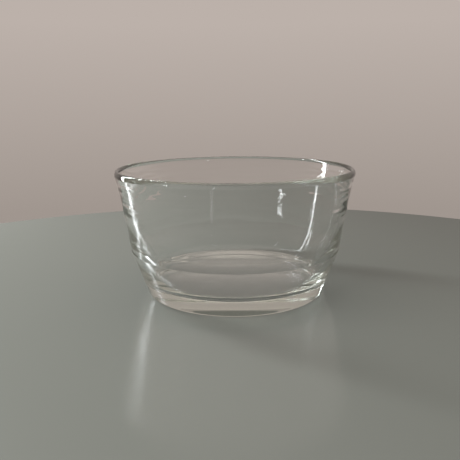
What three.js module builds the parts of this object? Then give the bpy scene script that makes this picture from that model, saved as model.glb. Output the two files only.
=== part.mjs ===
// A clear glass serving bowl, one moulded piece of glass.
// Millimetres, +Z up, standing on z = 0 with its axis on z.
// The section is drawn once, as corners rounded by curves, and turned about the axis.

import * as THREE from 'three';

// Overall sizes
const RIM_DIAMETER = 120;
const HEIGHT = 63;
const FOOT_DIAMETER = 91;
const FOOT_ROUND = 1.2;

// Outer wall: two faint rings and a shoulder, each a crease where the wall's lean changes.
// A belly is how far the wall stands outside the straight cone from foot to rim.
// A hollow is how far the wall sinks in between two creases.
const UPPER_RING_HEIGHT = 40.4;
const UPPER_RING_BELLY = 1.45;
const LOWER_RING_HEIGHT = 28.2;
const LOWER_RING_BELLY = 2.4;
const SHOULDER_HEIGHT = 23;
const SHOULDER_BELLY = 2.85;
const RING_ROUND = 0.2;
const UPPER_HOLLOW = 0.4;
const MIDDLE_HOLLOW = 0.34;
const LOWER_HOLLOW = 0.07;

// Lip: higher rounded outside than inside, with its crest between
const LIP_HEIGHT = 2.6;
const LIP_THICKNESS = 2.2;
const LIP_CREST = 1.3;
const LIP_INNER_ROUND = 1.5;

// Inside: it flares to the lip and turns in to the floor.
// An inset is how far the inside stands within the straight cone from foot to rim.
const INNER_UPPER_HEIGHT = 52;
const INNER_UPPER_INSET = 2.65;
const INNER_LOWER_HEIGHT = 20;
const INNER_LOWER_INSET = 1.8;
const INNER_ROUND = 9;
const BASE_THICKNESS = 7.3;
const FLOOR_DIAMETER = 84;
const FLOOR_ROUND = 4.5;

// Underside: a shallow dish within the flat ring that the bowl stands on
const DISH_DIAMETER = 80;
const DISH_DEPTH = 0.7;
const DISH_ROUND = 1;

// Glass
const GLASS_COLOUR = 0xdfe4df;
const GLASS_ROUGHNESS = 0.05;
const GLASS_OPACITY = 0.35;

// Facets
const TURN_STEPS = 72;
const CURVE_TURN = THREE.MathUtils.degToRad(14);
const FEWEST_STEPS = 3;
const SAME_POINT = 0.001;

// Radius at a height of the straight cone from foot to rim
function coneRadius(height) {
  return THREE.MathUtils.lerp(FOOT_DIAMETER / 2, RIM_DIAMETER / 2, height / HEIGHT);
}

// One corner of the section: radius from the axis, height,
// and how far its curve reaches along the edges before and after it
function corner(radius, height, before = 0, after = before) {
  return { at: new THREE.Vector2(radius, height), before, after };
}

// Corner between two creases that sinks the wall between them in one shallow curve
function hollow(low, high, depth) {
  const edge = high.at.clone().sub(low.at);
  const inward = new THREE.Vector2(-edge.y, edge.x).normalize();
  const at = low.at.clone().lerp(high.at, 0.5).addScaledVector(inward, 2 * depth);
  return corner(at.x, at.y, at.distanceTo(high.at) - RING_ROUND);
}

// Points of the curve that rounds one corner, tangent to the edges before and after it
function roundedCorner(previous, here, next) {
  const back = previous.at.clone().sub(here.at).normalize();
  const ahead = next.at.clone().sub(here.at).normalize();
  const start = here.at.clone().addScaledVector(back, here.before);
  const end = here.at.clone().addScaledVector(ahead, here.after);
  const turn = Math.PI - back.angleTo(ahead);
  const steps = Math.max(FEWEST_STEPS, Math.ceil(turn / CURVE_TURN));
  return new THREE.QuadraticBezierCurve(start, here.at, end).getPoints(steps);
}

// The outline as points, with every corner rounded but the two on the axis
function roundedOutline(corners) {
  const points = [corners[0].at];
  for (let i = 1; i < corners.length - 1; i += 1) {
    for (const point of roundedCorner(corners[i - 1], corners[i], corners[i + 1])) {
      if (point.distanceTo(points.at(-1)) > SAME_POINT) {
        points.push(point);
      }
    }
  }
  points.push(corners.at(-1).at);
  return points;
}

// Section from the middle of the underside, up the wall, over the lip, down to the middle of the floor
function bowlSection() {
  const rim = RIM_DIAMETER / 2;
  const dish = DISH_DIAMETER / 2;
  const shoulder = corner(coneRadius(SHOULDER_HEIGHT) + SHOULDER_BELLY, SHOULDER_HEIGHT, RING_ROUND);
  const lowerRing = corner(coneRadius(LOWER_RING_HEIGHT) + LOWER_RING_BELLY, LOWER_RING_HEIGHT, RING_ROUND);
  const upperRing = corner(coneRadius(UPPER_RING_HEIGHT) + UPPER_RING_BELLY, UPPER_RING_HEIGHT, RING_ROUND);
  const lip = corner(rim, HEIGHT - LIP_HEIGHT, RING_ROUND);
  return roundedOutline([
    corner(0, DISH_DEPTH),
    corner(dish / 2, DISH_DEPTH, dish / 2, dish / 2 - DISH_ROUND),
    corner(dish, 0, DISH_ROUND),
    corner(FOOT_DIAMETER / 2, 0, FOOT_ROUND),
    shoulder,
    hollow(shoulder, lowerRing, LOWER_HOLLOW),
    lowerRing,
    hollow(lowerRing, upperRing, MIDDLE_HOLLOW),
    upperRing,
    hollow(upperRing, lip, UPPER_HOLLOW),
    lip,
    corner(rim, HEIGHT, LIP_HEIGHT - RING_ROUND, LIP_CREST),
    corner(rim - LIP_THICKNESS, HEIGHT, LIP_THICKNESS - LIP_CREST, LIP_INNER_ROUND),
    corner(coneRadius(INNER_UPPER_HEIGHT) - INNER_UPPER_INSET, INNER_UPPER_HEIGHT, INNER_ROUND),
    corner(coneRadius(INNER_LOWER_HEIGHT) - INNER_LOWER_INSET, INNER_LOWER_HEIGHT, INNER_ROUND),
    corner(FLOOR_DIAMETER / 2, BASE_THICKNESS, FLOOR_ROUND),
    corner(0, BASE_THICKNESS),
  ]);
}

function makeBowl() {
  const geometry = new THREE.LatheGeometry(bowlSection(), TURN_STEPS);
  geometry.rotateX(Math.PI / 2);
  const glass = new THREE.MeshStandardMaterial({
    color: GLASS_COLOUR,
    roughness: GLASS_ROUGHNESS,
    metalness: 0,
    transparent: true,
    opacity: GLASS_OPACITY,
  });
  const mesh = new THREE.Mesh(geometry, glass);
  mesh.name = 'bowl';
  return mesh;
}

const glassBowl = new THREE.Group();
glassBowl.add(makeBowl());

export default glassBowl;
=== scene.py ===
"""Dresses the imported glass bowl: a fine glass mesh, its material, and a plain stage with windows."""

import math

import bpy
from mathutils import Matrix, Vector, noise


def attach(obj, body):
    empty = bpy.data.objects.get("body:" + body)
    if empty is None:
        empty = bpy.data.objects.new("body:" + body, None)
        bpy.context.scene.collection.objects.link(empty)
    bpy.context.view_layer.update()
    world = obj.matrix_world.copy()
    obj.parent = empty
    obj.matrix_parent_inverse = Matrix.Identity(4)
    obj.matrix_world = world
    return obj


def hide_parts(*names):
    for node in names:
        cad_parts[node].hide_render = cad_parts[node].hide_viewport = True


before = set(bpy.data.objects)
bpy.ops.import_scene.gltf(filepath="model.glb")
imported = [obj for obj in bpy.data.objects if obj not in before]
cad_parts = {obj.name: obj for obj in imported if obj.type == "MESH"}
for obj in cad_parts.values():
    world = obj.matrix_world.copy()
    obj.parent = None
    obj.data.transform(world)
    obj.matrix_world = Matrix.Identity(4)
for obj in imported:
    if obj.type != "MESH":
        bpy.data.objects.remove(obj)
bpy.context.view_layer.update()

bl_info = {
    "name": "Glass Bowl",
    "version": (1, 0, 0),
    "blender": (4, 5, 0),
    "location": "View3D > Sidebar > Glass Bowl",
    "description": "Builds a clear moulded glass bowl and a plain stage to show it on",
    "category": "Object",
}

MM = 0.001


def linear(hex_colour):
    """An sRGB hex colour such as 8f9089 as linear red, green, blue."""
    parts = [int(hex_colour[i:i + 2], 16) / 255 for i in (0, 2, 4)]
    return tuple(c / 12.92 if c <= 0.04045 else ((c + 0.055) / 1.055) ** 2.4 for c in parts)


def length(label, what, millimetres):
    """A length property, written in millimetres and kept in metres."""
    return bpy.props.FloatProperty(
        name=label, description=what, default=millimetres * MM, min=0.0, precision=5, unit="LENGTH"
    )


def colour(label, what, hex_colour):
    """A colour property, written as sRGB hex."""
    return bpy.props.FloatVectorProperty(
        name=label, description=what, default=linear(hex_colour), subtype="COLOR", min=0.0, max=1.0
    )


def angle(label, what, degrees):
    """An angle property, written in degrees and kept in radians."""
    return bpy.props.FloatProperty(
        name=label, description=what, default=math.radians(degrees), subtype="ANGLE"
    )


class BowlSettings(bpy.types.PropertyGroup):
    """Sizes and glass of the bowl"""

    rim_diameter: length("Rim Diameter", "Across the outside of the lip", 120)
    height: length("Height", "From the standing ring to the top of the lip", 63)
    foot_diameter: length("Foot Diameter", "Across the outside of the foot", 91)
    foot_round: length("Foot Round", "How far the foot's edge is rounded off", 1.2)
    upper_ring_height: length("Upper Ring Height", "Height of the upper faint ring", 40.4)
    upper_ring_belly: length("Upper Ring Belly", "How far it stands outside the cone", 1.45)
    lower_ring_height: length("Lower Ring Height", "Height of the lower faint ring", 28.2)
    lower_ring_belly: length("Lower Ring Belly", "How far it stands outside the cone", 2.4)
    shoulder_height: length("Shoulder Height", "Where the wall turns in towards the foot", 23)
    shoulder_belly: length("Shoulder Belly", "How far it stands outside the cone", 2.85)
    ring_round: length("Ring Round", "How far the rings are rounded off", 0.2)
    upper_hollow: length("Upper Hollow", "How far the wall above the rings is hollowed", 0.4)
    middle_hollow: length("Middle Hollow", "How far the wall between the rings is hollowed", 0.34)
    lower_hollow: length("Lower Hollow", "How far the wall below the lower ring is hollowed", 0.07)
    lip_height: length("Lip Height", "How far down the outside the lip's round reaches", 2.6)
    lip_thickness: length("Lip Thickness", "Glass just below the lip's round", 2.2)
    lip_crest: length("Lip Crest", "How far in from the outside the top of the lip is", 1.3)
    lip_inner_round: length("Lip Inner Round", "How far down the inside the lip's round reaches", 1.5)
    inner_upper_height: length("Inner Upper Height", "Where the inside begins to flare", 52)
    inner_upper_inset: length("Inner Upper Inset", "How far the inside there is within the cone", 2.65)
    inner_lower_height: length("Inner Lower Height", "Where the inside turns in to the floor", 20)
    inner_lower_inset: length("Inner Lower Inset", "How far the inside there is within the cone", 1.8)
    inner_round: length("Inner Round", "How far those two turns are rounded off", 9)
    base_thickness: length("Base Thickness", "Glass under the floor", 7.3)
    floor_diameter: length("Floor Diameter", "Across the floor, to its unrounded corner", 84)
    floor_round: length("Floor Round", "How far the floor's corner is rounded off", 4.5)
    dish_diameter: length("Dish Diameter", "Across the shallow dish underneath", 80)
    dish_depth: length("Dish Depth", "How far the underside is dished", 0.7)
    dish_round: length("Dish Round", "How far the edge of the dish is rounded off", 1)
    hollow_fill: bpy.props.FloatProperty(
        name="Hollow Fill", description="Share of the hollows that is filled midway between the seams",
        default=0.72, min=0.0, max=1.0, subtype="FACTOR",
    )
    inner_swell: length("Inner Swell", "How far the inside swells midway between the seams", 0.28)
    ripple_height: length("Ripple Height", "Height of the fine ripples that run round the wall", 0.14)
    ripple_spacing: length("Ripple Spacing", "From one ripple to the next, up the wall", 3.6)
    ripple_length: length("Ripple Length", "How far a ripple runs round the wall", 15)
    sway_height: length("Sway Height", "Height of the slower waves in the wall", 0.04)
    sway_length: length("Sway Length", "From one slow wave to the next", 30)
    wavy_from: length("Wavy From", "Height above which the wall begins to sway", 9)
    tint: colour("Tint", "What a thick stretch of the glass lets through", "e0e4de")


class StageSettings(bpy.types.PropertyGroup):
    """Floor, backdrop and camera"""

    floor_colour: colour("Floor Colour", "Pale satin floor", "91938b")
    backdrop_colour: colour("Backdrop Colour", "Plain wall all round", "bcb1aa")
    backdrop_low: colour("Low Backdrop Colour", "The same wall, shaded low down", "a0968f")
    camera_distance: length("Camera Distance", "From the bowl's axis, level", 269.4)
    camera_height: length("Camera Height", "Above the floor", 92.8)
    camera_tilt: angle("Camera Tilt", "Down from level", 13.1)
    camera_turn: angle("Camera Turn", "Left from the bowl's axis", 0.55)
    camera_roll: angle("Camera Roll", "Clockwise, seen from behind", 0.48)
    focal_pixels: bpy.props.FloatProperty(
        name="Focal Length", description="In pixels of the square image", default=530, subtype="PIXEL"
    )


def settings_of(context):
    """The scene's sizes and glass of the bowl."""
    return context.scene.glass_bowl


def stage_of(context):
    """The scene's floor, backdrop and camera."""
    return context.scene.glass_bowl_stage


# Section of the bowl

# How fine the mesh is: along the section's curves and straight edges, and round the axis
CURVE_STEP = 0.5 * MM
FEWEST_STEPS = 8
EDGE_STEP = 0.9 * MM
TURN_STEPS = 240
# Share of a step within which two points are the same
SAME_POINT = 0.001


def rounded_corner(before, here, after, reach_before, reach_after):
    """Points of the curve that rounds one corner, tangent to the edges before and after it."""
    start = here + (before - here).normalized() * reach_before
    end = here + (after - here).normalized() * reach_after
    steps = max(FEWEST_STEPS, math.ceil((end - start).length / CURVE_STEP))
    turns = (i / steps for i in range(steps + 1))
    return [start.lerp(here, u).lerp(here.lerp(end, u), u) for u in turns]


def split_edges(points, step):
    """The same outline with no edge longer than step, and without repeated points."""
    fine = [points[0]]
    for point in points[1:]:
        last = fine[-1]
        count = math.ceil((point - last).length / step - SAME_POINT)
        fine.extend(last.lerp(point, (i + 1) / count) for i in range(count))
    return fine


def hollowed(low, high, hollow, crease):
    """Corner that makes the edge between two creases one hollow curve."""
    across = Vector((low[1] - high[1], high[0] - low[0])).normalized()
    middle = (Vector(low[:2]) + Vector(high[:2])) / 2 + across * 2 * hollow
    return (*middle, (Vector(high[:2]) - middle).length - crease)


def bowl_section(s):
    """Outline from the middle of the underside, up the wall and over the lip to the middle of the floor.

    A corner is its radius, its height and how far its curve reaches along the edges before and after it.
    The cone is the straight one from foot to rim.
    """
    rim, foot, dish = s.rim_diameter / 2, s.foot_diameter / 2, s.dish_diameter / 2

    def off_cone(height, out):
        return foot + (rim - foot) * height / s.height + out, height

    shoulder = (*off_cone(s.shoulder_height, s.shoulder_belly), s.ring_round)
    lower = (*off_cone(s.lower_ring_height, s.lower_ring_belly), s.ring_round)
    upper = (*off_cone(s.upper_ring_height, s.upper_ring_belly), s.ring_round)
    lip = rim, s.height - s.lip_height, s.ring_round
    corners = [
        (0, s.dish_depth),
        (dish / 2, s.dish_depth, dish / 2, dish / 2 - s.dish_round),
        (dish, 0, s.dish_round),
        (foot, 0, s.foot_round),
        shoulder,
        hollowed(shoulder, lower, s.lower_hollow, s.ring_round),
        lower,
        hollowed(lower, upper, s.middle_hollow, s.ring_round),
        upper,
        hollowed(upper, lip, s.upper_hollow, s.ring_round),
        lip,
        (rim, s.height, s.lip_height - s.ring_round, s.lip_crest),
        (rim - s.lip_thickness, s.height, s.lip_thickness - s.lip_crest, s.lip_inner_round),
        (*off_cone(s.inner_upper_height, -s.inner_upper_inset), s.inner_round),
        (*off_cone(s.inner_lower_height, -s.inner_lower_inset), s.inner_round),
        (s.floor_diameter / 2, s.base_thickness, s.floor_round),
        (0, s.base_thickness),
    ]
    places = [Vector(c[:2]) for c in corners]
    points = [places[0]]
    for i in range(1, len(corners) - 1):
        points += rounded_corner(places[i - 1], places[i], places[i + 1], corners[i][2], corners[i][-1])
    points.append(places[-1])
    return split_edges(points, EDGE_STEP)


# Waviness of the wall

# The mould's two seams lie on the x axis, and the glass is calm midway between them.
# On the way from there to a seam, as a share of the radius: where the calm begins to fade and is gone,
# where the ripples begin to grow and are full, and the share of the ripples that the calm part has.
CALM_FADES, CALM_GONE = 0.7, 0.95
RIPPLE_GROWS, RIPPLE_FULL = 0.7, 0.92
CALM_RIPPLE = 0.1
# Length of one wave of the noise, and how far off the inside's is taken, so that the two sides differ
NOISE_WAVE = 2
INSIDE_SHIFT = 9
# Top of the swell's curve, u ** 3 * (1 - u), at three quarters of the way up
SWELL_TOP = 27 / 256


def hollow_at(s, height):
    """How far the outer wall is hollowed at a height: a parabola from ring to ring, and ring to lip."""
    lip = s.height - s.lip_height
    for low, high, depth in (
        (s.lower_ring_height, s.upper_ring_height, s.middle_hollow),
        (s.upper_ring_height, lip, s.upper_hollow),
    ):
        if low < height < high:
            up = (height - low) / (high - low)
            return 4 * up * (1 - up) * depth
    return 0


def swell_at(s, height):
    """How far the inside swells at a height: most high up the wall, nothing at its ends."""
    lip = s.height - s.lip_inner_round
    up = min(1, max(0, (height - s.inner_lower_height) / (lip - s.inner_lower_height)))
    return s.inner_swell * up ** 3 * (1 - up) / SWELL_TOP


def eased(value, start, end):
    """Nothing up to the start, one from the end on, and a smooth rise between."""
    share = min(1, max(0, (value - start) / (end - start)))
    return share ** 2 * (3 - 2 * share)


def waviness(s, place, height, inside):
    """How far the wall stands off its true form.

    Midway between the seams the hollows are partly filled and the inside swells a little. Near the seams
    fine ripples run round the wall above the upper ring. A slower sway runs all round.
    """
    shift = Vector((0, 0, INSIDE_SHIFT if inside else 0))
    sideways = abs(place.x) / place.length
    calm = 1 - eased(sideways, CALM_FADES, CALM_GONE)
    lively = CALM_RIPPLE + (1 - CALM_RIPPLE) * eased(sideways, RIPPLE_GROWS, RIPPLE_FULL)
    below_lip = max(0, s.height - s.lip_height - height) / s.lip_height
    above_ring = max(0, height - s.upper_ring_height) / s.ripple_spacing
    above_foot = max(0, height / s.wavy_from - 1)
    rippled = lively * min(1, above_ring, below_lip)
    swaying = min(1, above_foot, below_lip)
    filled = calm * (swell_at(s, height) if inside else s.hollow_fill * hollow_at(s, height))
    ripple = Vector((
        place.x / s.ripple_length,
        place.y / s.ripple_length,
        NOISE_WAVE * height / s.ripple_spacing,
    ))
    sway = Vector((*place, height)) / s.sway_length * NOISE_WAVE
    return (
        filled
        + rippled * s.ripple_height * noise.noise(ripple + shift)
        + swaying * s.sway_height * noise.noise(sway - shift)
    )


def turned_mesh(name, section, s):
    """A closed mesh of the section turned about the z axis, with one point at each pole."""
    ring = section[1:-1]
    outward = [Vector((b.y - a.y, a.x - b.x)).normalized() for a, b in zip(section, section[2:])]
    poles = [(0, 0, section[0].y), (0, 0, section[-1].y)]
    verts = list(poles)
    for k in range(TURN_STEPS):
        turn = math.tau * k / TURN_STEPS
        spoke = Vector((math.cos(turn), math.sin(turn)))
        for point, out in zip(ring, outward):
            moved = point + out * waviness(s, spoke * point.x, point.y, out.x < 0)
            verts.append((*spoke * moved.x, moved.y))
    rows = len(ring)
    faces = []
    for k in range(TURN_STEPS):
        here = len(poles) + k * rows
        there = len(poles) + (k + 1) % TURN_STEPS * rows
        faces.append((0, there, here))
        faces.append((1, here + rows - 1, there + rows - 1))
        faces += [(here + i, there + i, there + i + 1, here + i + 1) for i in range(rows - 1)]
    mesh = bpy.data.meshes.new(name)
    mesh.from_pydata(verts, [], faces)
    mesh.shade_smooth()
    return mesh


# Materials

GLASS_IOR = 1.52
# How fast the glass takes on its tint, per metre
TINT_DENSITY = 15.0
# Share of the light that a wall of glass lets through to its shadow, square-on and edge-on,
# and how sharply the second sets in
SHADOW_CLEAR = 0.98
SHADOW_EDGE = 0.1
SHADOW_EDGE_POWER = 2.5
PAINT_IOR = 1.45
PAINT_ROUGHNESS = 0.18


def new_material(name):
    """An empty node material and its tree."""
    material = bpy.data.materials.new(name)
    material.use_nodes = True
    material.node_tree.nodes.clear()
    return material, material.node_tree


def add(tree, kind, inputs=None, **settings):
    """Adds a node; an input is a value, or a pair of a node and its output's name, which is linked."""
    node = tree.nodes.new(kind)
    for key, value in settings.items():
        setattr(node, key, value)
    for key, value in (inputs or {}).items():
        if isinstance(value, tuple) and isinstance(value[0], bpy.types.Node):
            tree.links.new(value[0].outputs[value[1]], node.inputs[key])
        else:
            node.inputs[key].default_value = value
    return node


def soda_lime_glass(s):
    """Moulded, fire-polished soda-lime glass: clear, sharp, with a faint cool tint where it is thick.

    Its shadow is light in the middle and dark where the light meets the wall edge-on.
    """
    material, tree = new_material("soda_lime_glass")
    glass = add(tree, "ShaderNodeBsdfPrincipled", {
        "Base Color": (1, 1, 1, 1),
        "Roughness": 0.0,
        "IOR": GLASS_IOR,
        "Transmission Weight": 1.0,
    })
    slant = add(tree, "ShaderNodeLayerWeight")
    edge = add(tree, "ShaderNodeMath", {0: (slant, "Facing"), 1: SHADOW_EDGE_POWER}, operation="POWER")
    passed = add(tree, "ShaderNodeMix", {
        "Factor": (edge, "Value"),
        "A": (SHADOW_CLEAR, SHADOW_CLEAR, SHADOW_CLEAR, 1),
        "B": (SHADOW_EDGE, SHADOW_EDGE, SHADOW_EDGE, 1),
    }, data_type="RGBA")
    shadow = add(tree, "ShaderNodeBsdfTransparent", {"Color": (passed, "Result")})
    path = add(tree, "ShaderNodeLightPath")
    surface = add(tree, "ShaderNodeMixShader", {
        0: (path, "Is Shadow Ray"),
        1: (glass, "BSDF"),
        2: (shadow, "BSDF"),
    })
    absorb = add(tree, "ShaderNodeVolumeAbsorption", {"Color": (*s.tint, 1), "Density": TINT_DENSITY})
    add(tree, "ShaderNodeOutputMaterial", {"Surface": (surface, "Shader"), "Volume": (absorb, "Volume")})
    return material


def satin_floor(s):
    """Satin painted board: an even pale grey-green with a soft sheen."""
    material, tree = new_material("satin_paint")
    satin = add(tree, "ShaderNodeBsdfPrincipled", {
        "Base Color": (*s.floor_colour, 1),
        "Roughness": PAINT_ROUGHNESS,
        "IOR": PAINT_IOR,
    })
    add(tree, "ShaderNodeOutputMaterial", {"Surface": (satin, "BSDF")})
    return material


# Makers

def link(context, name, data):
    """A new object in the scene."""
    thing = bpy.data.objects.new(name, data)
    context.scene.collection.objects.link(thing)
    return thing


class MakeBowl(bpy.types.Operator):
    """Turn the bowl's section into glass in place of the plain solid"""

    bl_idname = "glass_bowl.make_bowl"
    bl_label = "Make Bowl"

    def execute(self, context):
        s = settings_of(context)
        mesh = turned_mesh("bowl_glass", bowl_section(s), s)
        mesh.materials.append(soda_lime_glass(s))
        bowl = link(context, "bowl_glass", mesh)
        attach(bowl, "root")
        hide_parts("bowl")
        return {"FINISHED"}


# A round floor, with its middle in front of the bowl. The gap keeps its face off the standing ring's.
FLOOR_RADIUS = 311 * MM
FLOOR_FORWARD = 84 * MM
FLOOR_GAP = 0.05 * MM
FLOOR_STEPS = 256

# The room by the direction that one looks in, with y to the back and z up.
# The wall's low shade gives way between two heights, the front of the room is dimmer than the back,
# and the ceiling is brighter than the wall.
LOW_SHADE_FULL, LOW_SHADE_GONE = -0.18, 0.14
FRONT_Y, BACK_Y = -0.6, 0.2
FRONT_STRENGTH = 0.6
WALL_TOP, CEILING = 0.6, 0.95
CEILING_STRENGTH = 3.0
# Share of the room's light that satin and matt surfaces get. The camera and the glass see all of it.
SOFT_SHARE = 0.33

DAYLIGHT = "f0f5f8"
# Lamps: name, azimuth from straight behind with left negative, elevation, distance, width, height,
# radiance. Angles are in degrees and lengths in metres. Glass and floor never show the fill itself.
WINDOWS = (
    ("window_left", -60, 28, 0.55, 0.036, 0.62, 44.0),
    ("window_front_left", -118, 6, 1.2, 0.14, 0.04, 25.0),
)
FILL = ("fill_front_left", -125, 35, 0.7, 0.6, 0.6, 2.8)

# The square image's side in pixels, and the camera's sensor in millimetres
IMAGE_SIDE = 460
SENSOR_WIDTH = 36.0
NEAREST_SEEN = 10 * MM
# Enough bounces for light to cross several walls of glass
ALL_BOUNCES = 48
GLASS_BOUNCES = 40


class MakeStage(bpy.types.Operator):
    """Add the floor, the backdrop, the windows and the camera"""

    bl_idname = "glass_bowl.make_stage"
    bl_label = "Make Stage"

    def execute(self, context):
        s = stage_of(context)
        self.make_floor(context, s)
        self.make_backdrop(context, s)
        self.make_windows(context)
        self.make_camera(context, s)
        self.set_rendering(context.scene)
        return {"FINISHED"}

    def make_floor(self, context, s):
        ring = []
        for k in range(FLOOR_STEPS):
            turn = math.tau * k / FLOOR_STEPS
            across, back = FLOOR_RADIUS * math.cos(turn), FLOOR_RADIUS * math.sin(turn)
            ring.append((across, back - FLOOR_FORWARD, -FLOOR_GAP))
        mesh = bpy.data.meshes.new("floor")
        mesh.from_pydata(ring, [], [tuple(range(FLOOR_STEPS))])
        mesh.materials.append(satin_floor(s))
        floor = link(context, "floor", mesh)

    def make_backdrop(self, context, s):
        world = bpy.data.worlds.new("backdrop")
        world.use_nodes = True
        tree = world.node_tree
        tree.nodes.clear()
        where = add(tree, "ShaderNodeTexCoord")
        parts = add(tree, "ShaderNodeSeparateXYZ", {"Vector": (where, "Generated")})
        rise = add(tree, "ShaderNodeMapRange", {
            "Value": (parts, "Z"),
            "From Min": LOW_SHADE_FULL,
            "From Max": LOW_SHADE_GONE,
        })
        wall = add(tree, "ShaderNodeMix", {
            "Factor": (rise, "Result"),
            "A": (*s.backdrop_low, 1),
            "B": (*s.backdrop_colour, 1),
        }, data_type="RGBA")
        depth = add(tree, "ShaderNodeMapRange", {
            "Value": (parts, "Y"),
            "From Min": FRONT_Y,
            "From Max": BACK_Y,
            "To Min": FRONT_STRENGTH,
        })
        above = add(tree, "ShaderNodeMapRange", {
            "Value": (parts, "Z"),
            "From Min": WALL_TOP,
            "From Max": CEILING,
            "To Min": 1.0,
            "To Max": CEILING_STRENGTH,
        })
        path = add(tree, "ShaderNodeLightPath")
        sharp = add(tree, "ShaderNodeMath", {
            0: (path, "Is Camera Ray"),
            1: (path, "Is Singular Ray"),
        }, operation="MAXIMUM")
        seen = add(tree, "ShaderNodeMapRange", {"Value": (sharp, "Value"), "To Min": SOFT_SHARE})
        room = add(tree, "ShaderNodeMath", {
            0: (depth, "Result"),
            1: (above, "Result"),
        }, operation="MULTIPLY")
        strength = add(tree, "ShaderNodeMath", {
            0: (room, "Value"),
            1: (seen, "Result"),
        }, operation="MULTIPLY")
        plain = add(tree, "ShaderNodeBackground", {
            "Color": (wall, "Result"),
            "Strength": (strength, "Value"),
        })
        add(tree, "ShaderNodeOutputWorld", {"Surface": (plain, "Background")})
        context.scene.world = world

    def make_windows(self, context):
        for name, azimuth, elevation, distance, width, height, radiance in (*WINDOWS, FILL):
            lamp = bpy.data.lights.new(name, "AREA")
            lamp.shape = "RECTANGLE"
            lamp.color = linear(DAYLIGHT)
            lamp.size, lamp.size_y = width, height
            lamp.energy = radiance * math.pi * width * height
            window = link(context, name, lamp)
            a, e = math.radians(azimuth), math.radians(elevation)
            towards = Vector((math.sin(a) * math.cos(e), math.cos(a) * math.cos(e), math.sin(e)))
            window.location = towards * distance
            window.rotation_euler = towards.to_track_quat("Z", "Y").to_euler()
            window.visible_camera = False
            shown = name != FILL[0]
            window.visible_glossy = shown
            window.visible_transmission = shown

    def make_camera(self, context, s):
        data = bpy.data.cameras.new("camera")
        data.sensor_width = SENSOR_WIDTH
        data.lens = s.focal_pixels * SENSOR_WIDTH / IMAGE_SIDE
        data.clip_start = NEAREST_SEEN
        camera = link(context, "camera", data)
        camera.matrix_world = (
            Matrix.Translation((0, -s.camera_distance, s.camera_height))
            @ Matrix.Rotation(s.camera_turn, 4, "Z")
            @ Matrix.Rotation(math.pi / 2 - s.camera_tilt, 4, "X")
            @ Matrix.Rotation(-s.camera_roll, 4, "Z")
        )
        context.scene.camera = camera

    def set_rendering(self, scene):
        scene.view_settings.view_transform = "Standard"
        scene.cycles.max_bounces = ALL_BOUNCES
        scene.cycles.transmission_bounces = GLASS_BOUNCES
        scene.cycles.glossy_bounces = GLASS_BOUNCES
        scene.cycles.caustics_refractive = False
        scene.cycles.use_denoising = True


class GlassBowlPanel(bpy.types.Panel):
    """Sizes, colours and the two makers"""

    bl_idname = "VIEW3D_PT_glass_bowl"
    bl_label = "Glass Bowl"
    bl_space_type = "VIEW_3D"
    bl_region_type = "UI"
    bl_category = "Glass Bowl"

    def draw(self, context):
        for group, maker in ((settings_of(context), MakeBowl), (stage_of(context), MakeStage)):
            box = self.layout.box()
            for key in group.__annotations__:
                box.prop(group, key)
            box.operator(maker.bl_idname)


CLASSES = (BowlSettings, StageSettings, MakeBowl, MakeStage, GlassBowlPanel)


def register():
    for cls in CLASSES:
        bpy.utils.register_class(cls)
    bpy.types.Scene.glass_bowl = bpy.props.PointerProperty(type=BowlSettings)
    bpy.types.Scene.glass_bowl_stage = bpy.props.PointerProperty(type=StageSettings)


def unregister():
    del bpy.types.Scene.glass_bowl_stage
    del bpy.types.Scene.glass_bowl
    for cls in reversed(CLASSES):
        bpy.utils.unregister_class(cls)


def main():
    register()
    bpy.ops.glass_bowl.make_stage()
    bpy.ops.glass_bowl.make_bowl()


if __name__ == "__main__":
    main()
